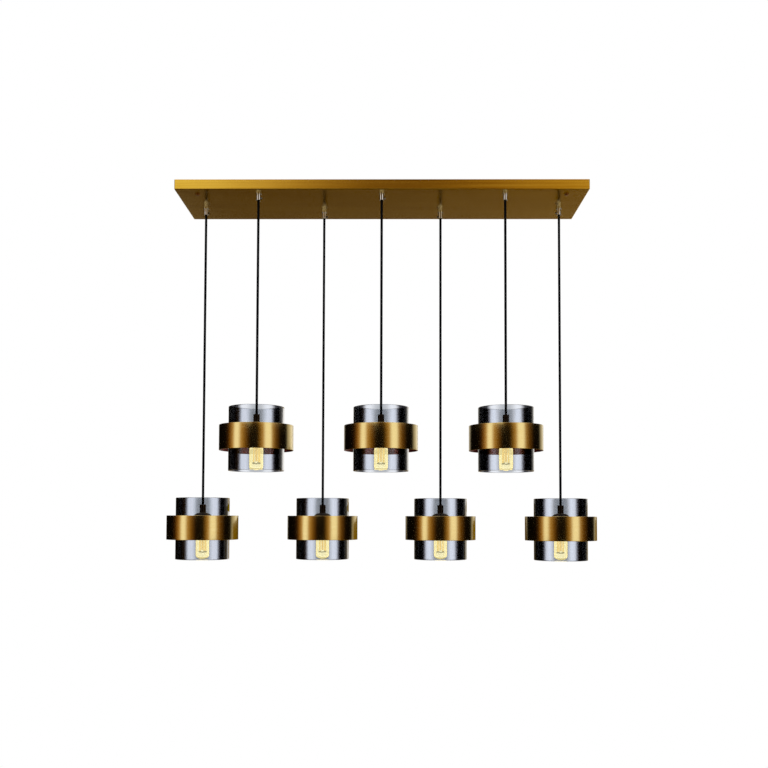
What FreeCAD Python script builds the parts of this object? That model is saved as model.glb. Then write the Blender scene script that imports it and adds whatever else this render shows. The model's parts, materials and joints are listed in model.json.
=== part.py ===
import FreeCAD, Part
import math
import os
from FreeCAD import Vector

# Cluster pendant: a flat rectangular ceiling pan carries seven shades on straight cords.
# Millimetres. The origin is the centre of the pan's open top, in the ceiling plane.
# +Z is up, +X runs along the pan, and the pan is seen from the -Y side.

# ---- driving dimensions: ceiling pan --------------------------------------------------
pan_length = 900.0
pan_depth = 200.0
pan_height = 22.0
pan_wall = 1.5
pan_edge_radius = 2.0

# ---- driving dimensions: where the cords leave the pan --------------------------------
cord_end_margin = 45.0   # from each end of the pan to the outermost cord
front_row_inset = 24.0   # cords 2, 4 and 6, from the pan's front edge
back_row_inset = 52.0    # cords 3 and 5, from the pan's back edge
end_row_inset = 78.0     # cords 1 and 7, from the pan's back edge
row_of_cord = ["end", "front", "back", "front", "back", "front", "end"]
cord_diameter = 5.5
low_band_top_z = -728.0  # cords 1, 3, 5 and 7
band_level_step = 195.0  # cords 2, 4 and 6 hang this much higher
level_of_cord = [0, 1, 0, 1, 0, 1, 0]

# ---- driving dimensions: cord grip on the pan -----------------------------------------
grip_length = 16.0
grip_diameter = 10.0
grip_flange_diameter = 13.0
grip_flange_height = 2.0
grip_thread_diameter = 9.0
grip_thread_length = 8.0
grip_nut_width = 14.0
grip_nut_height = 3.0
grip_screw_diameter = 3.0
grip_screw_head_diameter = 4.6
grip_screw_head_length = 3.2
grip_screw_rise = 4.5    # above the mouth of the grip
seam_turn = 225.0        # degrees
# the knob of the set screw points right (+1) or left (-1), or to the back (0)
screw_side_of_cord = [1, 1, 1, 1, -1, 0, -1]

# ---- driving dimensions: ceiling bracket and what holds the pan -----------------------
bracket_width = 30.0
bracket_thickness = 2.0
bracket_end_margin = 25.0
bracket_arm_x = 300.0
bracket_arm_reach = 75.0
ceiling_hole_x = 300.0
ceiling_hole_y = 60.0
ceiling_hole_radius = 2.75
fixing_screw_margin = 45.0
fixing_screw_inset = 30.0
fixing_screw_diameter = 4.0
fixing_head_diameter = 10.0
fixing_head_height = 3.2
fixing_head_rim = 1.0
spacer_diameter = 8.0

# ---- driving dimensions: terminal block in the pan ------------------------------------
terminal_pole_count = 3
terminal_pole_width = 10.0
terminal_depth = 20.0
terminal_height = 13.0
terminal_bore_diameter = 4.0
terminal_gap = 1.0
terminal_y = -5.0
terminal_x = 67.5
earth_x = -67.5
earth_post_diameter = 4.0
earth_washer_diameter = 10.0
earth_washer_height = 1.2
earth_post_height = 10.0

# ---- driving dimensions: shade --------------------------------------------------------
band_diameter = 160.0
band_height = 54.0
band_wall = 1.5
glass_diameter = 120.0
glass_wall = 3.0
upper_glass_rise = 40.0       # above the top edge of the band
lower_glass_drop = 44.5       # below the bottom edge of the band
glass_shoulder_radius = 6.0
disc_depth = 10.0             # top of the carrier disc below the top edge of the band
disc_thickness = 2.0
disc_flange_height = 12.0
glass_stop_height = 4.0
glass_stop_width = 6.0
glass_stop_count = 3

# ---- driving dimensions: lampholder ---------------------------------------------------
collar_diameter = 14.0
collar_top = 24.0             # above the top edge of the band
cap_top = 7.0                 # where the collar meets the domed cap
cap_flange_diameter = 46.0
cap_flange_height = 3.0
skirt_diameter = 40.0
skirt_bottom = -46.0
socket_diameter = 26.6
socket_top = -14.5
mouth_diameter = 33.0
mouth_height = 4.0
shade_ring_diameter = 58.0
shade_ring_height = 5.0
shade_ring_wall = 2.5

# ---- driving dimensions: bulb ---------------------------------------------------------
bulb_diameter = 30.0
bulb_cap_diameter = 26.0
bulb_cap_length = 25.0
bulb_length = 82.0
bulb_tip_round = 9.0
bulb_contact_diameter = 9.0
bulb_contact_height = 2.0

# ---- named clearances -----------------------------------------------------------------
slip = 0.1               # between pieces of one body that slide together when assembled
running = 0.3            # between curved faces of pieces that move past each other
hole_clearance = 0.5     # a hole over the thing that passes it
cord_end_gap = 1.2       # above the hanging stretch of cord, so that it can tilt in the grip's mouth

# ---- values worked out from the above -------------------------------------------------
pan_floor = -pan_height + pan_wall
grip_mouth = -pan_height - grip_length
cord_radius = cord_diameter / 2
disc_top = -disc_depth
disc_bottom = disc_top - disc_thickness
band_inner_radius = band_diameter / 2 - band_wall
disc_radius = band_inner_radius - slip
glass_inner_radius = glass_diameter / 2 - glass_wall
skirt_radius = skirt_diameter / 2
shade_top = disc_bottom - glass_wall
cord_pitch = (pan_length - 2 * cord_end_margin) / (len(row_of_cord) - 1)
first_cord_x = -pan_length / 2 + cord_end_margin
y_of_row = {
    "front": -pan_depth / 2 + front_row_inset,
    "back": pan_depth / 2 - back_row_inset,
    "end": pan_depth / 2 - end_row_inset,
}
fixing_screw_y = -pan_depth / 2 + fixing_screw_inset
bracket_length = pan_length - 2 * bracket_end_margin


def cylinder(diameter, bottom, top, x=0.0, y=0.0):
    return Part.makeCylinder(diameter / 2, top - bottom, Vector(x, y, bottom))


def tube(outer_diameter, inner_diameter, bottom, top):
    outer = cylinder(outer_diameter, bottom, top)
    return outer.cut(cylinder(inner_diameter, bottom, top))


def block(x0, x1, y0, y1, z0, z1):
    return Part.makeBox(x1 - x0, y1 - y0, z1 - z0, Vector(x0, y0, z0))


def turned(profile):
    """A solid turned about Z. The profile is a closed list of (radius, z); an arc is (middle, end)."""
    edges = []
    here = Vector(profile[0][0], 0, profile[0][1])
    first = here
    for step in profile[1:]:
        if isinstance(step[0], tuple):
            middle = Vector(step[0][0], 0, step[0][1])
            there = Vector(step[1][0], 0, step[1][1])
            edges.append(Part.Arc(here, middle, there).toShape())
        else:
            there = Vector(step[0], 0, step[1])
            edges.append(Part.LineSegment(here, there).toShape())
        here = there
    edges.append(Part.LineSegment(here, first).toShape())
    return Part.Face(Part.Wire(edges)).revolve(Vector(0, 0, 0), Vector(0, 0, 1), 360)


def hexagon(width, bottom, top, x, y):
    corner = width / math.sqrt(3)
    points = []
    for n in range(7):
        angle = math.radians(60 * n)
        points.append(Vector(x + corner * math.cos(angle), y + corner * math.sin(angle), bottom))
    return Part.Face(Part.makePolygon(points)).extrude(Vector(0, 0, top - bottom))


def cord_places():
    """(x, y, z of the band's top edge) of each shade, from left to right."""
    places = []
    for n, row in enumerate(row_of_cord):
        band_top = low_band_top_z + level_of_cord[n] * band_level_step
        places.append((first_cord_x + n * cord_pitch, y_of_row[row], band_top))
    return places


def fixing_places():
    x = pan_length / 2 - fixing_screw_margin
    return [(-x, fixing_screw_y), (x, fixing_screw_y)]


# ---- ceiling pan and what it holds ----------------------------------------------------
def canopy_pan():
    half_x = pan_length / 2
    half_y = pan_depth / 2
    outer = block(-half_x, half_x, -half_y, half_y, -pan_height, 0)
    rounded = []
    for edge in outer.Edges:
        on_top = all(abs(v.Point.z) < 0.001 for v in edge.Vertexes)
        if not on_top:
            rounded.append(edge)
    outer = outer.makeFillet(pan_edge_radius, rounded)
    inner = block(
        -half_x + pan_wall, half_x - pan_wall, -half_y + pan_wall, half_y - pan_wall, pan_floor, 1
    )
    inner_corners = [e for e in inner.Edges if abs(e.Vertexes[0].Point.z - e.Vertexes[1].Point.z) > 1]
    inner = inner.makeFillet(pan_edge_radius - pan_wall, inner_corners)
    pan = outer.cut(inner)
    for x, y, _ in cord_places():
        hole = grip_thread_diameter + hole_clearance
        pan = pan.cut(cylinder(hole, -pan_height - 1, pan_floor + 1, x, y))
    for x, y in fixing_places():
        hole = fixing_screw_diameter + hole_clearance
        pan = pan.cut(cylinder(hole, -pan_height - 1, pan_floor + 1, x, y))
    return pan


def ceiling_bracket():
    half = bracket_width / 2
    strap = block(
        -bracket_length / 2, bracket_length / 2, fixing_screw_y - half, fixing_screw_y + half,
        -bracket_thickness, 0,
    )
    for side in (-1, 1):
        x = side * bracket_arm_x
        arm = block(x - half, x + half, fixing_screw_y, bracket_arm_reach, -bracket_thickness, 0)
        strap = strap.fuse(arm)
    strap = strap.removeSplitter()
    for side in (-1, 1):
        for row in (-1, 1):
            hole = cylinder(
                2 * ceiling_hole_radius, -bracket_thickness - 1, 1,
                side * ceiling_hole_x, row * ceiling_hole_y,
            )
            strap = strap.cut(hole)
    for x, y in fixing_places():
        strap = strap.cut(cylinder(fixing_screw_diameter + 2 * slip, -bracket_thickness - 1, 1, x, y))
    return strap


def bracket_spacers():
    spacers = []
    for x, y in fixing_places():
        spacer = cylinder(spacer_diameter, pan_floor, -bracket_thickness, x, y)
        bore = cylinder(fixing_screw_diameter + 2 * slip, pan_floor, -bracket_thickness, x, y)
        spacers.append(spacer.cut(bore))
    return Part.makeCompound(spacers)


def fixing_screws():
    """Round-headed screws: up through the pan's floor and the spacer into the bracket."""
    radius = fixing_head_diameter / 2
    rim = -pan_height - fixing_head_rim
    dome_height = fixing_head_height - fixing_head_rim
    ball_radius = (radius ** 2 + dome_height ** 2) / (2 * dome_height)
    half_angle = math.asin(radius / ball_radius) / 2
    crown = -pan_height - fixing_head_height
    on_dome = (ball_radius * math.sin(half_angle), crown + ball_radius * (1 - math.cos(half_angle)))
    screws = []
    for x, y in fixing_places():
        head = turned([(0, -pan_height), (radius, -pan_height), (radius, rim), (on_dome, (0, crown))])
        head.translate(Vector(x, y, 0))
        shank = cylinder(fixing_screw_diameter, -pan_height, 0, x, y)
        screws.append(head.fuse(shank).removeSplitter())
    return Part.makeCompound(screws)


def cord_grips():
    grips = []
    for n, (x, y, _) in enumerate(cord_places()):
        thread_top = pan_floor + grip_thread_length
        grip = cylinder(grip_diameter, grip_mouth, -pan_height)
        flange = cylinder(grip_flange_diameter, -pan_height - grip_flange_height, -pan_height)
        thread = cylinder(grip_thread_diameter, -pan_height, thread_top)
        grip = grip.fuse([flange, thread]).removeSplitter()
        grip = grip.cut(cylinder(cord_diameter + 2 * running, grip_mouth, thread_top))
        # a turned body has one seam line: it is turned away from the set screw's hole
        grip.rotate(Vector(0, 0, 0), Vector(0, 0, 1), seam_turn)
        grip = grip.cut(set_screw_shape(n, slip))
        grip.translate(Vector(x, y, 0))
        grips.append(grip)
    return Part.makeCompound(grips)


def set_screw_shape(n, extra):
    """The shank of a set screw about the cord's axis, from the cord to its head."""
    z = grip_mouth + grip_screw_rise
    side = screw_side_of_cord[n]
    direction = Vector(side, 0, 0) if side else Vector(0, 1, 0)
    start = direction * (cord_radius + running)
    length = grip_diameter / 2 - cord_radius - running + 1
    return Part.makeCylinder(
        grip_screw_diameter / 2 + extra, length, Vector(start.x, start.y, z), direction
    )


def grip_screws():
    """The knurled-headed set screws that pinch each cord in its grip."""
    screws = []
    for n, (x, y, _) in enumerate(cord_places()):
        z = grip_mouth + grip_screw_rise
        side = screw_side_of_cord[n]
        direction = Vector(side, 0, 0) if side else Vector(0, 1, 0)
        start = direction * (grip_diameter / 2 + slip)
        head = Part.makeCylinder(
            grip_screw_head_diameter / 2, grip_screw_head_length, Vector(start.x, start.y, z), direction
        )
        screw = head.fuse(set_screw_shape(n, 0.0)).removeSplitter()
        screw.translate(Vector(x, y, 0))
        screws.append(screw)
    return Part.makeCompound(screws)


def grip_nuts():
    nuts = []
    for x, y, _ in cord_places():
        nut = hexagon(grip_nut_width, pan_floor, pan_floor + grip_nut_height, x, y)
        bore = cylinder(grip_thread_diameter + 2 * slip, pan_floor, pan_floor + grip_nut_height, x, y)
        nuts.append(nut.cut(bore))
    return Part.makeCompound(nuts)


def cord_tails():
    """The fixed stretch of each cord, held in its grip above the hanging stretch."""
    tails = []
    for x, y, _ in cord_places():
        bottom = grip_mouth + cord_end_gap
        tails.append(cylinder(cord_diameter, bottom, pan_floor + grip_thread_length, x, y))
    return Part.makeCompound(tails)


def terminal_block():
    """A moulded strip of terminal poles on the pan's floor, each with a wire bore along Y."""
    length = terminal_pole_count * terminal_pole_width + (terminal_pole_count - 1) * terminal_gap
    x0 = terminal_x - length / 2
    y0 = terminal_y - terminal_depth / 2
    y1 = y0 + terminal_depth
    base_height = terminal_height / 4
    strip = block(x0, x0 + length, y0, y1, pan_floor, pan_floor + base_height)
    bores = []
    for n in range(terminal_pole_count):
        left = x0 + n * (terminal_pole_width + terminal_gap)
        middle = left + terminal_pole_width / 2
        strip = strip.fuse(
            block(left, left + terminal_pole_width, y0, y1, pan_floor, pan_floor + terminal_height)
        )
        bores.append(
            Part.makeCylinder(
                terminal_bore_diameter / 2, terminal_depth,
                Vector(middle, y0, pan_floor + terminal_height / 2), Vector(0, 1, 0),
            )
        )
    return strip.removeSplitter().cut(bores)


def earth_terminal():
    """A stud with a washer and a nut on the pan's floor, for the earth wire."""
    washer = cylinder(
        earth_washer_diameter, pan_floor, pan_floor + earth_washer_height, earth_x, terminal_y
    )
    stud = cylinder(earth_post_diameter, pan_floor, pan_floor + earth_post_height, earth_x, terminal_y)
    nut_bottom = pan_floor + earth_washer_height
    nut = hexagon(
        2 * earth_post_diameter, nut_bottom, nut_bottom + grip_nut_height, earth_x, terminal_y
    )
    return washer.fuse([stud, nut]).removeSplitter()


# ---- one shade, made about its own axis with z = 0 at the band's top edge --------------
def brass_band():
    return tube(band_diameter, 2 * band_inner_radius, -band_height, 0)


def carrier_disc():
    """The pressed disc in the band: a plate with a turned-down flange and stops for the glass."""
    disc = turned([
        (skirt_radius + hole_clearance, disc_top),
        (disc_radius, disc_top),
        (disc_radius, disc_bottom - disc_flange_height),
        (disc_radius - disc_thickness, disc_bottom - disc_flange_height),
        (disc_radius - disc_thickness, disc_bottom),
        (skirt_radius + hole_clearance, disc_bottom),
    ])
    for n in range(glass_stop_count):
        outer = glass_inner_radius - hole_clearance
        stop = block(
            outer - disc_thickness, outer, -glass_stop_width / 2, glass_stop_width / 2,
            disc_top, disc_top + glass_stop_height,
        )
        stop.rotate(Vector(0, 0, 0), Vector(0, 0, 1), 90 + 360 * n / glass_stop_count)
        disc = disc.fuse(stop)
    return disc.removeSplitter()


def upper_glass():
    return tube(glass_diameter, 2 * glass_inner_radius, disc_top, upper_glass_rise)


def lower_glass():
    """A cup open below. Its flat top is clamped under the disc by the shade ring."""
    outer = glass_diameter / 2
    bottom = -band_height - lower_glass_drop
    shoulder = glass_shoulder_radius
    bend = shoulder * (1 - math.sqrt(0.5))
    return turned([
        (skirt_radius + hole_clearance, disc_bottom),
        (outer - shoulder, disc_bottom),
        (outer - bend, disc_bottom - bend),
        (outer, disc_bottom - shoulder),
        (outer, bottom),
        (glass_inner_radius, bottom),
        (glass_inner_radius, disc_bottom - shoulder),
        (outer - shoulder, shade_top),
        (skirt_radius + hole_clearance, shade_top),
    ])


def lampholder():
    """The holder with its domed cap and collar, and the shade ring screwed on its skirt."""
    collar_radius = collar_diameter / 2
    flange_radius = cap_flange_diameter / 2
    flange_top = disc_top + cap_flange_height
    dome_width = flange_radius - collar_radius
    dome_drop = cap_top - flange_top
    holder = turned([
        (0, collar_top),
        (collar_radius, collar_top),
        (collar_radius, cap_top),
        (collar_radius + 0.5 * dome_width, cap_top - 0.13 * dome_drop),
        (collar_radius + 0.87 * dome_width, cap_top - 0.5 * dome_drop),
        (flange_radius, flange_top),
        (flange_radius, disc_top),
        (skirt_radius, disc_top),
        (skirt_radius, skirt_bottom),
        (mouth_diameter / 2, skirt_bottom),
        (mouth_diameter / 2, skirt_bottom + mouth_height),
        (socket_diameter / 2, skirt_bottom + mouth_height),
        (socket_diameter / 2, socket_top),
        (0, socket_top),
    ])
    ring_inner = skirt_radius + slip
    ring_outer = shade_ring_diameter / 2
    ring = turned([
        (ring_inner, shade_top),
        (ring_outer, shade_top),
        (ring_outer, shade_top - shade_ring_wall),
        (ring_inner + shade_ring_wall, shade_top - shade_ring_wall),
        (ring_inner + shade_ring_wall, shade_top - shade_ring_height),
        (ring_inner, shade_top - shade_ring_height),
    ])
    return Part.makeCompound([holder, ring])


def bulb():
    """A tubular filament bulb on a screw cap, its contact against the top of the socket."""
    cap_radius = bulb_cap_diameter / 2
    glass_radius = bulb_diameter / 2
    contact_radius = bulb_contact_diameter / 2
    cap_top_z = socket_top - bulb_contact_height
    cap_bottom = cap_top_z - bulb_cap_length
    tip = socket_top - bulb_length
    return turned([
        (0, socket_top),
        (contact_radius, socket_top),
        (cap_radius, cap_top_z),
        (cap_radius, cap_bottom),
        (glass_radius, cap_bottom - bulb_tip_round),
        (glass_radius, tip + bulb_tip_round),
        (glass_radius * 0.8, tip + bulb_tip_round * 0.3),
        (glass_radius * 0.4, tip),
        (0, tip),
    ])


def cord(band_top):
    """The hanging stretch, from the grip's mouth to the top of the collar."""
    return cylinder(cord_diameter, band_top + collar_top, grip_mouth)


def write(name, shape):
    shape.exportStep(os.path.join("parts", name + ".step"))
    print(name, len(shape.Solids), "solids", round(shape.Volume), "mm3", shape.isValid())


os.makedirs("parts", exist_ok=True)

for make in (
    canopy_pan, ceiling_bracket, bracket_spacers, fixing_screws, cord_grips, grip_screws, grip_nuts,
    cord_tails, terminal_block, earth_terminal,
):
    write(make.__name__, make())

for number, (place_x, place_y, band_top_z) in enumerate(cord_places(), start=1):
    for make in (brass_band, carrier_disc, upper_glass, lower_glass, lampholder, bulb):
        piece = make()
        piece.translate(Vector(place_x, place_y, band_top_z))
        write(f"{make.__name__}_{number}", piece)
    hanging = cord(band_top_z)
    hanging.translate(Vector(place_x, place_y, 0))
    write(f"cord_{number}", hanging)
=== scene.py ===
# %% [markdown]
# # A cluster pendant in brass and smoke glass
# Seven shades hang on straight black cords from a flat brushed-brass ceiling pan. This file dresses
# the measured model: it keeps every place and size from there, and makes the surfaces that the eye
# reads, such as rounded rims, brushed metal, tinted glass and lit filaments.

# %% Load the measured model
import json
import math
import bmesh
import bpy
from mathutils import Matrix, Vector

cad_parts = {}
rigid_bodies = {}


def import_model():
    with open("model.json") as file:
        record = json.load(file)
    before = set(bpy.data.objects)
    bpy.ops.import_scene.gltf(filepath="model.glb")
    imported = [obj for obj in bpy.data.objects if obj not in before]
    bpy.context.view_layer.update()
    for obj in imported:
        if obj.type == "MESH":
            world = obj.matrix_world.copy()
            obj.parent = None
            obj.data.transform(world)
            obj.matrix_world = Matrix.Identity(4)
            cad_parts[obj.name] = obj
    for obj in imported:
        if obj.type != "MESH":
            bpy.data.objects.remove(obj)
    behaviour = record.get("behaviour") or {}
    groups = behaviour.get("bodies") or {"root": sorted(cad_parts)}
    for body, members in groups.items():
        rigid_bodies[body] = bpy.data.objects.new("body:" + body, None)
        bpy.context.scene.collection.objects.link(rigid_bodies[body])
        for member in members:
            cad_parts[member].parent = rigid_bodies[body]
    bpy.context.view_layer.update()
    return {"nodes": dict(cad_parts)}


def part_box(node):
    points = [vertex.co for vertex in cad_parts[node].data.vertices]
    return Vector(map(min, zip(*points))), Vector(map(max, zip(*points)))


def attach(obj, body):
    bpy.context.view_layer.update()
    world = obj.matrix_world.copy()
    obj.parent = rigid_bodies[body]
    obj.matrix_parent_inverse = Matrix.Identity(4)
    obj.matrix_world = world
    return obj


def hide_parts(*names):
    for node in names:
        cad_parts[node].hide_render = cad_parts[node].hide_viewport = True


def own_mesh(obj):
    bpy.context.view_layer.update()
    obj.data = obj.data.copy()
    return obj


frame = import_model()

scene = bpy.context.scene
scene.view_settings.view_transform = "Standard"
mm = 0.001
shade_count = 7

# %% [markdown]
# ## Where things are
# Each shade is round about its own upright axis. The axis is the middle of its band, and the heights
# come from the corners of the measured pieces, so nothing here is placed by eye.

# %% Read the places of the shades
def middle_of(node):
    low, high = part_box(node)
    return (Vector(low) + Vector(high)) / 2


def height_of(node):
    low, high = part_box(node)
    return low[2], high[2]


class Shade:
    """One shade: its number, the middle of its band's top, and the height of its cord's foot."""

    def __init__(self, number):
        self.number = number
        self.body = f"shade_{number}"
        axis = middle_of(f"brass_band_{number}")
        self.x, self.y = axis.x, axis.y
        self.band_top = height_of(f"brass_band_{number}")[1]
        self.where = (self.x, self.y, self.band_top)
        self.cord_foot = height_of(f"cord_{number}")[0]


shades = [Shade(number) for number in range(1, shade_count + 1)]
pan_low, pan_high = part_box("canopy_pan")
grip_mouth_z = height_of("cord_grips")[0]
print("band tops at", [round(s.band_top, 3) for s in shades])

# %% [markdown]
# ## The camera
# The photograph looks slightly up at the lamp from below the pan, a little right of its middle. A
# normal lens about two metres away gives the pan's underside its depth. Tilting the camera further
# would make the cords lean, so part of the framing is done by lens shift, as on a view camera.

# %% Set the camera
photo_size = 768.0           # pixels
focal_in_pixels = 908.0
camera_place = (0.0254, -2.0351, -0.7276)
camera_turn = (math.radians(92.5), math.radians(-0.16), math.radians(0.54))
lens_shift = 0.12
camera_data = bpy.data.cameras.new("camera")
camera_data.sensor_width = 36.0
camera_data.lens = camera_data.sensor_width * focal_in_pixels / photo_size
camera_data.shift_y = lens_shift
camera = bpy.data.objects.new("camera", camera_data)
camera.location = camera_place
camera.rotation_euler = camera_turn
scene.collection.objects.link(camera)
scene.camera = camera
print("lens", round(camera_data.lens, 1), "mm")

# %% [markdown]
# ## Colour and node helpers
# A colour is written as the sRGB hex value that a paint program shows. The renderer works in
# linear light, and one function turns the one into the other. Another function adds a shader node
# with its settings and its links, so a material reads like a list.

# %% Colours and nodes
def linear(hex_colour):
    """Linear red, green and blue, with alpha, of an sRGB colour such as "#C8A860"."""
    channels = []
    for start in (1, 3, 5):
        value = int(hex_colour[start:start + 2], 16) / 255
        channels.append(value / 12.92 if value <= 0.04045 else ((value + 0.055) / 1.055) ** 2.4)
    return (*channels, 1.0)


def set_inputs(tree, node, inputs):
    """Sets inputs of a node. Each gets a value, or an output socket to link."""
    for socket, value in inputs.items():
        if isinstance(value, bpy.types.NodeSocket):
            tree.links.new(value, node.inputs[socket])
        else:
            node.inputs[socket].default_value = value


def add_node(tree, kind, settings=None, inputs=None, stops=()):
    """Adds a node. Settings are its own fields, and stops are the places and colours of a ramp."""
    node = tree.nodes.new(kind)
    for field, value in (settings or {}).items():
        setattr(node, field, value)
    set_inputs(tree, node, inputs or {})
    if stops:
        elements = node.color_ramp.elements
        while len(elements) < len(stops):
            elements.new(0.5)
        for element, (position, hex_colour) in zip(elements, stops):
            element.position = position
            element.color = linear(hex_colour)
    return node


def new_material(name):
    """A new node material, its tree and its Principled shader."""
    material = bpy.data.materials.new(name)
    material.use_nodes = True
    tree = material.node_tree
    return material, tree, tree.nodes["Principled BSDF"]


print("brass reads as", [round(v, 3) for v in linear("#C8A860")])

# %% [markdown]
# ## Mesh helpers
# Nearly every piece of the shades is turned or spun, so it is one outline turned about an axis. What
# makes such a mesh look real is its rims: no pressed, spun or fire-polished edge is sharp. The
# helper rounds each corner of the outline first, and then turns it.

# %% Rounded outlines, turned bodies and blocks
def rounded(outline, radius, steps=3, closed=True):
    """The outline with its corners rounded. A corner may carry its own radius as a third number."""
    count = len(outline)
    points = []
    for n, corner in enumerate(outline):
        here = Vector(corner[:2])
        own = corner[2] if len(corner) > 2 else radius
        if own <= 0 or (not closed and n in (0, count - 1)):
            points.append(here)
            continue
        before = Vector(outline[n - 1][:2]) - here
        after = Vector(outline[(n + 1) % count][:2]) - here
        own = min(own, 0.45 * before.length, 0.45 * after.length)
        start = here + before.normalized() * own
        end = here + after.normalized() * own
        for step in range(steps + 1):
            t = step / steps
            points.append(start * (1 - t) ** 2 + here * 2 * t * (1 - t) + end * t ** 2)
    return points


def object_of(name, mesh, material, body):
    """Makes a smooth-shaded piece of the lamp that rides on a body."""
    for polygon in mesh.polygons:
        polygon.use_smooth = True
    mesh.materials.append(material)
    piece = bpy.data.objects.new(name, mesh)
    scene.collection.objects.link(piece)
    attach(piece, body)
    return piece


def mesh_from(name, build):
    """Turns the faces outwards and makes the mesh."""
    bmesh.ops.recalc_face_normals(build, faces=build.faces)
    mesh = bpy.data.meshes.new(name)
    build.to_mesh(mesh)
    build.free()
    return mesh


def ring_of(build, x, y, z, sides, radius_at):
    """Points round an upright axis. The radius is worked out from the angle."""
    ring = []
    for n in range(sides):
        angle = 2 * math.pi * n / sides
        radius = radius_at(angle)
        ring.append(build.verts.new((x + radius * math.cos(angle), y + radius * math.sin(angle), z)))
    return ring


def skin(build, lower, upper):
    """Faces between two rings of equally many points."""
    for n in range(len(lower)):
        after = (n + 1) % len(lower)
        build.faces.new((lower[n], lower[after], upper[after], upper[n]))


def turned_mesh(name, outline, x=0.0, y=0.0, z=0.0, sides=96, closed=True):
    """A mesh turned about an upright axis. The outline is (radius, height) in metres from z.

    A point on the axis stays one point, and the faces next to it are triangles.
    """
    build = bmesh.new()
    rings = []
    for radius, height in outline:
        if radius < 1e-6:
            rings.append([build.verts.new((x, y, z + height))])
        else:
            rings.append(ring_of(build, x, y, z + height, sides, lambda angle: radius))
    pairs = list(zip(rings, rings[1:]))
    if closed:
        pairs.append((rings[-1], rings[0]))
    for lower, upper in pairs:
        if len(lower) == 1 and len(upper) == 1:
            continue
        for n in range(sides):
            after = (n + 1) % sides
            corners = [
                lower[n % len(lower)], lower[after % len(lower)],
                upper[after % len(upper)], upper[n % len(upper)],
            ]
            build.faces.new(list(dict.fromkeys(corners)))
    return mesh_from(name, build)


def block_mesh(name, low, high, bevel):
    """A box with rounded edges."""
    build = bmesh.new()
    bmesh.ops.create_cube(build, size=1.0)
    size = Vector(high) - Vector(low)
    for vertex in build.verts:
        vertex.co = Vector(low) + Vector([size[i] * (vertex.co[i] + 0.5) for i in range(3)])
    bmesh.ops.bevel(build, geom=build.edges[:], offset=bevel, segments=2, profile=0.5, affect="EDGES")
    return mesh_from(name, build)


def joined(name, meshes):
    """One mesh out of several."""
    build = bmesh.new()
    for mesh in meshes:
        build.from_mesh(mesh)
        bpy.data.meshes.remove(mesh)
    return mesh_from(name, build)


print("mesh helpers ready")

# %% [markdown]
# ## The cords
# Each cord is a round flex in a woven black textile sleeve, pulled straight by the weight of its
# shade. Its route is two ends in line, and the tube is a mesh that follows points read from the
# route's own spline. The weave is a bump: two sets of threads wound in opposite directions. Dull
# textile mirrors nothing, so the sleeve gets no gloss at all and stays the blackest thing in the
# picture.

# %% The sleeve's material
thread_pitch = 1.2 * mm      # real sleeves have finer threads; this is as fine as the picture shows
thread_height = 0.1 * mm
thread_lean = math.radians(50)


def woven_black_sleeve():
    material, tree, shader = new_material("woven_black_textile_sleeve")
    place = add_node(tree, "ShaderNodeTexCoord").outputs["Object"]
    waves = []
    for side in (1, -1):
        turn = add_node(
            tree, "ShaderNodeMapping", {"vector_type": "TEXTURE"},
            {"Vector": place, "Rotation": (side * thread_lean, 0, 0)},
        )
        wave = add_node(
            tree, "ShaderNodeTexWave", {"bands_direction": "Z"},
            {"Vector": turn.outputs["Vector"], "Scale": 0.5 / thread_pitch, "Distortion": 0.3},
        )
        waves.append(wave.outputs["Fac"])
    weave = add_node(tree, "ShaderNodeMath", {"operation": "MAXIMUM"}, {0: waves[0], 1: waves[1]})
    height = weave.outputs["Value"]
    bump = add_node(
        tree, "ShaderNodeBump", inputs={"Height": height, "Strength": 0.06, "Distance": thread_height}
    )
    threads = add_node(
        tree, "ShaderNodeValToRGB", inputs={"Fac": height}, stops=[(0.0, "#030303"), (1.0, "#0B0B0D")]
    )
    set_inputs(tree, shader, {
        "Base Color": threads.outputs["Color"], "Normal": bump.outputs["Normal"],
        "Roughness": 0.9, "Specular IOR Level": 0.0,
    })
    return material


sleeve = woven_black_sleeve()
print("threads every", thread_pitch / mm, "mm")

# %% Make the cords
cord_diameter = 5.5 * mm
cord_sides = 24


def route_points(name, ends):
    """Points along the NURBS route with these control points."""
    curve = bpy.data.curves.new(name, "CURVE")
    curve.dimensions = "3D"
    curve.resolution_u = 12
    spline = curve.splines.new("NURBS")
    spline.points.add(len(ends) - 1)
    for point, place in zip(spline.points, ends):
        point.co = (*place, 1.0)
    spline.order_u = 3
    spline.use_endpoint_u = True
    holder = bpy.data.objects.new(name, curve)
    mesh = bpy.data.meshes.new_from_object(holder)
    points = [vertex.co.copy() for vertex in mesh.vertices]
    bpy.data.objects.remove(holder)
    bpy.data.meshes.remove(mesh)
    bpy.data.curves.remove(curve)
    return points


def make_cord(shade):
    top = (shade.x, shade.y, grip_mouth_z)
    foot = (shade.x, shade.y, shade.cord_foot)
    length = top[2] - foot[2]
    middle = (shade.x, shade.y, (top[2] + foot[2]) / 2)
    path = route_points(f"route_{shade.number}", [top, middle, foot])
    outline = [(0.0, path[0].z)] + [(cord_diameter / 2, p.z) for p in path] + [(0.0, path[-1].z)]
    mesh = turned_mesh(f"cord_{shade.number}", outline, shade.x, shade.y, 0.0, cord_sides, closed=False)
    piece = object_of(f"sleeved_cord_{shade.number}", mesh, sleeve, f"hanger_{shade.number}")
    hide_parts(f"cord_{shade.number}")
    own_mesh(piece)
    return length


for shade in shades:
    print("cord", shade.number, round(make_cord(shade), 3), "m")

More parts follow.
